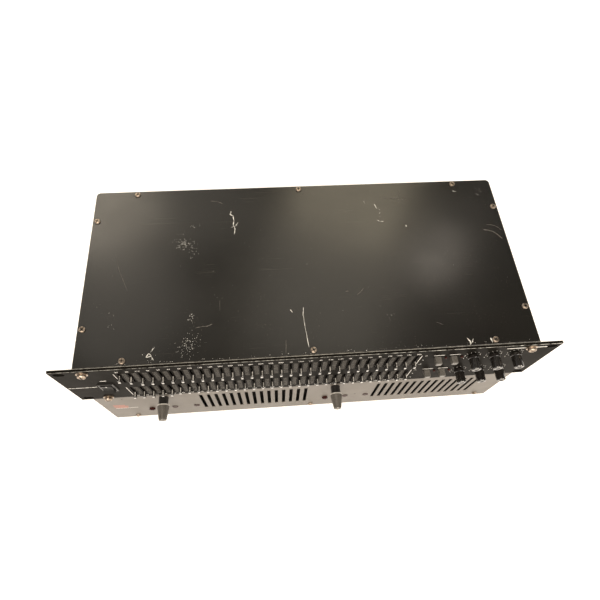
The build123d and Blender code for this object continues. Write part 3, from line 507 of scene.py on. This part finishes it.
# ---- Printing on the upper front panel ----
slider_names = sorted((n for n in nodes if n.startswith("slider_")), key=lambda n: centre(n).x)
BAND_X = [centre(n).x for n in slider_names]
BAND_PITCH = (BAND_X[-1] - BAND_X[0]) / (len(BAND_X) - 1)
CAP_HEIGHT = 7.6 * MM
CAP_TIP_HEIGHT = 6.0 * MM
CAP_LENGTH = 5.6 * MM
CAP_ROUND = 1.1 * MM
CAP_TIP_LIFT = 0.16 * MM
ROW_Z = (at_drop(25), at_drop(67))
SCALE_HALF = 12.0 * MM
SCALE_STEPS = 13
SCALE_WIDTH = 4.2 * MM
SHORT_NUMBER_SIZE = 3.1 * MM
LONG_NUMBER_SIZE = 2.5 * MM
UPPER_NUMBER_RISE = 17.6 * MM
LOWER_NUMBER_DROP = 17.4 * MM


def band_number(node_name):
    """The number printed over a band, such as 31.5 or 1.25k."""
    return node_name.replace("slider_", "").replace("_", ".")


def band_numbers():
    numbers = Builder()
    for name, x in zip(slider_names, BAND_X):
        words = band_number(name)
        size = SHORT_NUMBER_SIZE if len(words) < 4 else LONG_NUMBER_SIZE
        numbers.text(words, x, ROW_Z[0] + UPPER_NUMBER_RISE, size, FACE_Y - PRINT_LIFT)
        numbers.text(words, x, ROW_Z[1] - LOWER_NUMBER_DROP, size, FACE_Y - PRINT_LIFT)
    numbers.piece("band_numbers", white_ink, "root")


def scale_lines():
    lines = Builder()
    gaps = [(a + b) / 2 for a, b in zip(BAND_X, BAND_X[1:])]
    for row_z in ROW_Z:
        for step in range(SCALE_STEPS):
            z = row_z - SCALE_HALF + 2 * SCALE_HALF * step / (SCALE_STEPS - 1)
            thick = 0.5 * MM if step == SCALE_STEPS // 2 else 0.35 * MM
            for x in gaps:
                lines.bar(x, z, SCALE_WIDTH, thick, FACE_Y)
    lines.piece("scale_lines", grey_ink, "root")
    ends = Builder()
    for row_z in ROW_Z:
        for x in (BAND_X[0] - BAND_PITCH * 0.45, BAND_X[-1] + BAND_PITCH * 0.45):
            ends.bar(x, row_z, 0.5 * MM, 2 * SCALE_HALF + 2 * MM, FACE_Y)
        for step, words in ((0, "-12"), (SCALE_STEPS // 2, "0"), (SCALE_STEPS - 1, "12")):
            z = row_z - SCALE_HALF + 2 * SCALE_HALF * step / (SCALE_STEPS - 1)
            ends.text(words, BAND_X[-1] + BAND_PITCH * 0.9, z, 2.4 * MM, FACE_Y - PRINT_LIFT)
    ends.piece("scale_ends", white_ink, "root")


knob_names = sorted(n for n in nodes if n.endswith("_knob") and not n.startswith("level_"))
button_names = sorted(n for n in nodes if n.endswith("_button"))
level_names = sorted(n for n in nodes if n.startswith("level_"))
KNOB_SWEEP = 150
DIAL_DOTS = 11
DIAL_RADIUS = 7.6 * MM
DIAL_DOT_RADIUS = 0.4 * MM
DIAL_NUMBER_DROP = 9.6 * MM
DIAL_NUMBER_SIZE = 2.2 * MM
LEVEL_DIAL_RADIUS = 9.5 * MM
LEVEL_DIAL_DOT_RADIUS = 0.5 * MM
BUTTON_BAR_RISE = 6.6 * MM
ROCKER_BAR_RISE = 19.5 * MM
LAMP_DOT_RISE = 8.5 * MM
LAMP_DOT_RADIUS = 1.1 * MM
LEFT_LINE_DROP = 47
TOP_BAR_DROP = 6.4
RED_BLOCK_DROP = 122.5
RED_BAR_PITCH = 4.6
# Width and height of each red bar, in millimetres.
RED_BARS = ((13.0, 2.6), (15.6, 3.0), (14.2, 2.4))
# How far right of each level knob its two lamps' dots stand, in millimetres.
LAMP_DOT_OFFSETS = (2.5, 27.5)


def control_marks():
    marks = Builder()
    for name in button_names:
        spot = centre(name)
        marks.bar(spot.x, spot.z + BUTTON_BAR_RISE, 10.6 * MM, 0.9 * MM, FACE_Y)
    for name in knob_names:
        spot = centre(name)
        marks.dial(spot, DIAL_RADIUS, DIAL_DOT_RADIUS, FACE_Y)
        number_z = spot.z - DIAL_NUMBER_DROP
        for words, offset in (("0", -6.0), ("10", 6.2)):
            marks.text(words, spot.x + offset * MM, number_z, DIAL_NUMBER_SIZE, FACE_Y - PRINT_LIFT)
    rocker = centre("power_rocker")
    marks.bar(rocker.x + 1 * MM, rocker.z + ROCKER_BAR_RISE, 6.0 * MM, 1.0 * MM, FACE_Y)
    marks.bar(centre(knob_names[0]).x + 50 * MM, at_drop(TOP_BAR_DROP), 40 * MM, 1.3 * MM, FACE_Y)
    marks.piece("control_marks", white_ink, "root")


def left_end_line():
    """The thin rubbed line from the left ear to the rocker."""
    line = Builder()
    random.seed(5)
    x = PANEL_LOW.x + 1.5 * MM
    end = centre("power_rocker").x - 12 * MM
    while x < end:
        length = random.uniform(1.5, 4.0) * MM
        z = at_drop(LEFT_LINE_DROP) + random.uniform(-0.25, 0.25) * MM
        line.bar(x + length / 2, z, length, random.uniform(0.5, 1.1) * MM, FACE_Y)
        x += length + random.uniform(0.0, 0.5) * MM
    line.piece("left_end_line", white_ink, "root")


def lower_marks():
    """Red block, thin rules and small label dots on the lower front panel."""
    red = Builder()
    left = LOWER_LOW.x + 11.5 * MM
    for index, (width, height) in enumerate(RED_BARS):
        z = at_drop(RED_BLOCK_DROP + RED_BAR_PITCH * index)
        red.bar(left + width * MM / 2, z, width * MM, height * MM, LOWER_FACE_Y)
    red.piece("red_block", red_ink, "root")
    rules = Builder()
    rules.bar(left + 20.5 * MM, at_drop(134.0), 8.5 * MM, 0.7 * MM, LOWER_FACE_Y)
    rules.bar(left + 8 * MM, at_drop(134.5), 16.0 * MM, 0.6 * MM, LOWER_FACE_Y)
    rules.piece("lower_rules", white_ink, "root")
    dots = Builder()
    led_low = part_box("indicator_leds")[0]
    for name in level_names:
        spot = centre(name)
        for offset in LAMP_DOT_OFFSETS:
            dots.dot(spot.x + offset * MM, led_low.z + LAMP_DOT_RISE, LAMP_DOT_RADIUS, LOWER_FACE_Y)
        dots.dial(spot, LEVEL_DIAL_RADIUS, LEVEL_DIAL_DOT_RADIUS, LOWER_FACE_Y)
    dots.piece("lower_dots", dark_ink, "root")


# ---- Pointer lines, and a painted highlight on each slider cap, on what moves ----
TIP_BAR_WIDTH = 2.1 * MM
TIP_BAR_HEIGHT = 1.0 * MM
BAR_PROUD = 0.08 * MM
BAR_SINK = 0.2 * MM
# Place and size of the painted highlight strip on each slider cap's top.
CAP_HIGHLIGHT_PROUD = 0.05 * MM
CAP_HIGHLIGHT_SHIFT = 0.65 * MM
CAP_HIGHLIGHT_WIDTH = 0.75 * MM
CAP_HIGHLIGHT_THICK = 0.25 * MM
POINTER_WIDTH = 0.7 * MM
# A knob's line in millimetres: its front and back behind the tip, its ends above the knob's axis.
KNOB_LINE = (0.35, 0.7, 2.3, 4.5)
LEVEL_LINE = (0.4, 0.8, 0.9, 3.4)
ROCKER_TILT = math.radians(-10)
ROCKER_FACE_SLOPE = math.atan2(1.4, 5.0)
# The mark's place on the untilted rocker, from the middle of its pivot.
ROCKER_MARK_PLACE = (0, -6.1 * MM, 5.1 * MM)


def slider_pointers():
    """A white bar on each cap's tip, and a fine pale strip along the top of the cap to it, a painted
    highlight of the lit top face.
    """
    proud = CAP_HIGHLIGHT_PROUD
    for name in slider_names:
        pointer = Builder()
        # This builder holds the cap's painted highlight strip.
        line = Builder()
        low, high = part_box(name)
        x = (low.x + high.x) / 2
        for z in (high.z - CAP_HEIGHT / 2, low.z + CAP_HEIGHT / 2):
            pointer.box((x - TIP_BAR_WIDTH / 2, low.y - BAR_PROUD, z - TIP_BAR_HEIGHT / 2),
                        (x + TIP_BAR_WIDTH / 2, low.y + BAR_SINK, z + TIP_BAR_HEIGHT / 2))
            tip_z = z + CAP_TIP_HEIGHT / 2
            root_y = low.y + CAP_LENGTH - 0.2 * MM
            profile = [(root_y, z + CAP_HEIGHT / 2 + proud),
                       (low.y + CAP_ROUND, tip_z + CAP_TIP_LIFT + proud)]
            for angle in (30, 60, 90):
                turn = math.radians(angle)
                profile.append((low.y + CAP_ROUND * (1 - math.sin(turn)) - proud * math.sin(turn),
                                tip_z - CAP_ROUND * (1 - math.cos(turn)) + proud * math.cos(turn)))
            line.ribbon(x + CAP_HIGHLIGHT_SHIFT, CAP_HIGHLIGHT_WIDTH, profile, CAP_HIGHLIGHT_THICK)
        pointer.piece("pointer_" + name, pointer_ink, name)
        line.piece("cap_line_" + name, cap_line_ink, name)


def pointer_line(name, low, high, line):
    """A white line at a knob's tip. `line` gives its front, back, inner end and outer end."""
    front, back, inner, outer = line
    x = (low.x + high.x) / 2
    z = (low.z + high.z) / 2
    half = POINTER_WIDTH / 2
    pointer = Builder()
    pointer.box((x - half, low.y + front * MM, z + inner * MM),
                (x + half, low.y + back * MM, z + outer * MM))
    pointer.piece("pointer_" + name, white_ink, name)


def knob_pointers():
    """The small knobs' lines, then the level knobs'."""
    for name in knob_names:
        low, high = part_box(name)
        pointer_line(name, low, high, KNOB_LINE)
    for name in level_names:
        low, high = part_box(name)
        pointer_line(name, low, high, LEVEL_LINE)


def rocker_mark():
    """A short white bar on the upper half of the rocker's face."""
    low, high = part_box("power_rocker")
    mark = Builder()
    mark.box((-0.5 * MM, -BAR_PROUD, -1.5 * MM), (0.5 * MM, BAR_SINK, 1.5 * MM))
    slope = Matrix.Rotation(ROCKER_FACE_SLOPE, 4, "X")
    on_face = Matrix.Translation(ROCKER_MARK_PLACE) @ slope
    at_pivot = Matrix.Translation(((low.x + high.x) / 2, FRONT_Y, (low.z + high.z) / 2))
    tilted = at_pivot @ Matrix.Rotation(ROCKER_TILT, 4, "X") @ on_face
    bmesh.ops.transform(mark.mesh, matrix=tilted, verts=mark.mesh.verts)
    mark.piece("rocker_mark", white_ink, "power_rocker")


# ---- Dark fill in the screw recesses ----
COVER_SCREW_X = (-175.5, 0.0, 175.5)
COVER_SCREW_SIDE_Y = (38.3, 162.0)
COVER_SCREW_RADIUS = 3.1 * MM
COVER_SCREW_TURN = 23
SCREW_EDGE = 4.8 * MM
PANEL_SCREW_X = 212.0 * MM
PANEL_SCREW_DROPS = (6.0, 82.2)
PANEL_SCREW_RADIUS = 4.0 * MM
PANEL_SCREW_TURN = 31
# How far the dark fill's face stands above the cover and in front of the panel, inside the recesses.
COVER_FILL_RISE = 1.45 * MM
PANEL_FILL_RISE = 3.9 * MM
FILL_THICK = 0.05 * MM


def recess_cross(builder, radius, place):
    """A near-black fill in a screw head's cross recess. `place` puts it on the head."""
    before = set(builder.mesh.verts)
    for wide, tall in ((1.45, 0.22), (0.22, 1.45), (0.5, 0.5)):
        x, y = wide * radius / 2, tall * radius / 2
        builder.box((-x, -y, -FILL_THICK), (x, y, 0))
    made = [v for v in builder.mesh.verts if v not in before]
    bmesh.ops.transform(builder.mesh, matrix=place, verts=made)


def screw_grime():
    crosses = Builder()
    front, back = FRONT_Y + SCREW_EDGE, REAR_HIGH.y - SCREW_EDGE
    side = COVER_HIGH.x - SCREW_EDGE
    places = [(x * MM, y) for y in (front, back) for x in COVER_SCREW_X]
    places += [(x, FRONT_Y + y * MM) for x in (-side, side) for y in COVER_SCREW_SIDE_Y]
    for index, (x, y) in enumerate(places):
        turn = Matrix.Rotation(math.radians(COVER_SCREW_TURN * index), 4, "Z")
        place = Matrix.Translation((x, y, TOP_Z + COVER_FILL_RISE)) @ turn
        recess_cross(crosses, COVER_SCREW_RADIUS, place)
    fronts = [(s * PANEL_SCREW_X, at_drop(drop)) for s in (-1, 1) for drop in PANEL_SCREW_DROPS]
    facing_front = Matrix.Rotation(math.radians(90), 4, "X")
    for index, (x, z) in enumerate(fronts):
        turn = Matrix.Rotation(math.radians(PANEL_SCREW_TURN * index), 4, "Z")
        place = Matrix.Translation((x, FACE_Y - PANEL_FILL_RISE, z)) @ facing_front @ turn
        recess_cross(crosses, PANEL_SCREW_RADIUS, place)
    crosses.piece("screw_grime", recess_fill_paint, "root")


# ---- Wear on the cover ----
def on_cover(x, y):
    """A point on the cover, in millimetres right of its middle and back from its front edge."""
    return x * MM, FRONT_Y + y * MM


# Each deep mark: its points, then its width in millimetres.
DEEP_MARKS = (
    (((-75, 169), (-76, 165), (-73, 163), (-72, 156), (-73, 151), (-71, 146), (-72, 139)), 1.3),
    (((-68, 154), (-70, 150), (-75, 148)), 1.0),
    (((-6, 50), (-7, 42), (-6, 27), (-4, 8)), 0.8),
    (((-19, 48), (-17, 45)), 1.3),
    (((-152, 11), (-154, 7), (-149, 8), (-152, 11)), 0.9),
    (((-150, 12), (-147, 17)), 0.9),
    (((-149, 7), (-147, 4)), 1.2),
    (((82, 172), (83, 168), (84, 165)), 1.2),
    (((82, 150), (85, 148), (89, 148)), 0.8),
    (((148, 8), (151, 4), (150, 1)), 1.6),
    (((154, 7), (152, 3)), 1.2),
    (((171, 7), (172, 2)), 2.2),
    (((174, 186), (178, 185)), 0.9),
    (((112, 142), (113, 140)), 1.2),
)
FAINT_MARKS = (
    (((201, 138), (205, 138), (209, 137), (213, 134), (216, 130)), 1.0),
    (((196, 132), (201, 131), (206, 129), (210, 125), (214, 119)), 1.8),
    (((48, 60), (53, 64), (56, 68)), 0.8),
    (((37, 65), (41, 65)), 0.9),
    (((122, 26), (125, 25), (128, 23)), 0.8),
    (((-192, 120), (-186, 99), (-177, 78)), 0.6),
    (((-25, 17), (-26, 3)), 0.7),
    (((-87, 62), (-87, 51)), 0.6),
    (((-110, 34), (-104, 35), (-99, 35), (-94, 37)), 1.2),
    (((90, 180), (105, 178), (120, 176)), 1.4),
    (((112, 188), (110, 172)), 1.8),
    (((-97, 184), (-90, 183), (-84, 180)), 0.9),
    (((4, 194), (4, 189)), 0.9),
)
# Each scatter of chips: centre, spread in X and Y, count and size in millimetres.
CHIP_SCATTERS = (
    (-125, 130, 8, 8, 60, 1.0), (-114, 122, 5, 12, 24, 0.7), (-115, 151, 6, 2, 8, 0.8),
    (-115, 44, 4, 6, 16, 1.0), (-116, 16, 11, 12, 90, 0.9), (86, 158, 2, 11, 9, 1.0),
    (70, 175, 3, 2, 5, 0.8), (203, 184, 7, 6, 8, 1.1), (-150, 8, 12, 6, 8, 0.7),
    (78, 37, 5, 2, 4, 0.9), (-190, 38, 9, 14, 9, 0.6), (149, 104, 14, 16, 14, 0.5),
    (-40, 2, 170, 1, 40, 0.9), (120, 3, 90, 1, 18, 0.8), (0, 100, 190, 80, 70, 0.4),
)


def wavering(points, width, steps=4):
    """Fills in a listed mark with jittered points and makes its width waver. The ends run thin."""
    fine = []
    for first, second in zip(points, points[1:]):
        for step in range(steps):
            t = step / steps
            x = first[0] + (second[0] - first[0]) * t + random.uniform(-0.15, 0.15)
            y = first[1] + (second[1] - first[1]) * t + random.uniform(-0.15, 0.15)
            fine.append(on_cover(x, y))
    fine.append(on_cover(*points[-1]))
    widths = [width * random.uniform(0.2, 0.85) * MM for _ in fine]
    widths[0] = widths[-1] = 0.15 * MM
    return fine, widths


def cover_wear():
    random.seed(11)
    deep = Builder()
    for points, width in DEEP_MARKS:
        deep.streak(*wavering(points, width), TOP_Z)
    for x, y, spread_x, spread_y, count, size in CHIP_SCATTERS:
        for _ in range(count):
            spot_x = random.gauss(x, spread_x * 0.5)
            spot_y = min(max(random.gauss(y, spread_y * 0.5), 0.8), 198)
            angle = random.uniform(0, math.pi)
            reach = size * random.uniform(0.2, 0.9)
            ends = [on_cover(spot_x + s * reach * math.cos(angle), spot_y + s * reach * math.sin(angle))
                    for s in (-0.5, 0, 0.5)]
            if max(abs(ends[0][0]), abs(ends[2][0])) > COVER_HIGH.x - 0.6 * MM:
                continue
            wide = reach * random.uniform(0.35, 0.8) * MM
            deep.streak(ends, (wide * 0.3, wide, wide * 0.3), TOP_Z)
    deep.piece("cover_scratches", scratch_mark, "root")
    faint = Builder()
    for points, width in FAINT_MARKS:
        faint.streak(*wavering(points, width), TOP_Z)
    faint.piece("cover_rubs", faint_mark, "root")


band_numbers()
scale_lines()
control_marks()
left_end_line()
lower_marks()
slider_pointers()
knob_pointers()
rocker_mark()
screw_grime()
cover_wear()


# ---- Studio ----
FLOOR_HALF = 9.0
OBJECT_MIDDLE = (0.0, 0.0, 0.1)
COVER_MIDDLE = (0.0, 0.05, 0.18)
FRONT_RIGHT_FLOOR = (0.30, -0.38, 0.0)
# Each soft light: name, place, target, width and height in metres, watts and colour.
SOFT_LIGHTS = (
    ("key_softbox", (-0.4, -1.3, 1.9), OBJECT_MIDDLE, 1.4, 1.4, 62, (1.0, 0.90, 0.78)),
    ("back_left_softbox", (-0.60, 0.85, 1.07), COVER_MIDDLE, 0.34, 0.30, 1.8, (1.0, 0.88, 0.70)),
    ("back_middle_softbox", (-0.30, 0.82, 1.10), COVER_MIDDLE, 0.42, 0.30, 0.42, (1.0, 0.92, 0.78)),
    ("left_softbox", (-0.58, 0.52, 1.19), COVER_MIDDLE, 0.40, 0.50, 0.85, (1.0, 0.92, 0.80)),
    ("back_softbox", (0.27, 0.84, 1.10), COVER_MIDDLE, 0.42, 0.30, 1.7, (1.0, 0.87, 0.63)),
    ("overhead_softbox", (0.15, 0.50, 1.23), COVER_MIDDLE, 0.50, 0.50, 1.25, (1.0, 0.91, 0.76)),
    ("front_right_softbox", (0.60, -0.75, 0.55), FRONT_RIGHT_FLOOR, 0.45, 0.45, 3.5, (1.0, 0.92, 0.82)),
    ("right_softbox", (0.56, 0.60, 1.15), COVER_MIDDLE, 0.10, 0.10, 0.42, (1.0, 0.89, 0.76)),
)


def studio_floor():
    data = bpy.data.meshes.new("studio_floor")
    half = FLOOR_HALF
    corners = [(-half, -half, 0), (half, -half, 0), (half, half, 0), (-half, half, 0)]
    data.from_pydata(corners, [], [(0, 1, 2, 3)])
    data.materials.append(floor_paint())
    floor = bpy.data.objects.new("studio_floor", data)
    bpy.context.scene.collection.objects.link(floor)


def soft_light(name, place, target, width, height, watts, colour):
    """Area light at a place, facing a target."""
    data = bpy.data.lights.new(name, "AREA")
    data.shape = "RECTANGLE"
    data.size = width
    data.size_y = height
    data.energy = watts
    data.color = colour
    lamp = bpy.data.objects.new(name, data)
    lamp.location = place
    lamp.rotation_euler = (Vector(target) - Vector(place)).to_track_quat("-Z", "Y").to_euler()
    bpy.context.scene.collection.objects.link(lamp)


def studio_world():
    """Pale surroundings, bright at the horizon and dim overhead."""
    world = bpy.data.worlds.new("studio")
    world.use_nodes = True
    tree = world.node_tree
    background = tree.nodes["Background"]
    background.inputs["Color"].default_value = (1.0, 0.98, 0.95, 1)
    upward = tree.nodes.new("ShaderNodeSeparateXYZ")
    tree.links.new(tree.nodes.new("ShaderNodeTexCoord").outputs["Generated"], upward.inputs[0])
    fade = tree.nodes.new("ShaderNodeMapRange")
    fade.inputs["From Min"].default_value = 0.02
    fade.inputs["From Max"].default_value = 0.72
    fade.inputs["To Min"].default_value = 0.95
    fade.inputs["To Max"].default_value = 0.12
    tree.links.new(upward.outputs["Z"], fade.inputs["Value"])
    tree.links.new(fade.outputs["Result"], background.inputs["Strength"])
    bpy.context.scene.world = world
    bpy.context.scene.view_settings.view_transform = "Standard"


# The camera's place from the middle of the cover's front edge in metres, its turns in degrees,
# and its sensor and lens in millimetres.
CAMERA_FROM_FRONT_EDGE = Vector((-0.0405, -0.1506, 0.4148))
CAMERA_YAW = -8.65
CAMERA_TILT = 26.95
CAMERA_ROLL = 4.81
SENSOR_WIDTH = 36.0
FOCAL_LENGTH = 28.39


def photo_camera():
    data = bpy.data.cameras.new("camera")
    data.sensor_width = SENSOR_WIDTH
    data.lens = FOCAL_LENGTH
    data.clip_start = 0.01
    camera = bpy.data.objects.new("camera", data)
    place = Vector((0, FRONT_Y, TOP_Z)) + CAMERA_FROM_FRONT_EDGE
    turn = Matrix.Rotation(math.radians(CAMERA_YAW), 4, "Z")
    turn = turn @ Matrix.Rotation(math.radians(CAMERA_TILT), 4, "X")
    turn = turn @ Matrix.Rotation(math.radians(CAMERA_ROLL), 4, "Z")
    camera.matrix_world = Matrix.Translation(place) @ turn
    bpy.context.scene.collection.objects.link(camera)
    bpy.context.scene.camera = camera


studio_floor()
studio_world()
for light in SOFT_LIGHTS:
    soft_light(*light)
photo_camera()
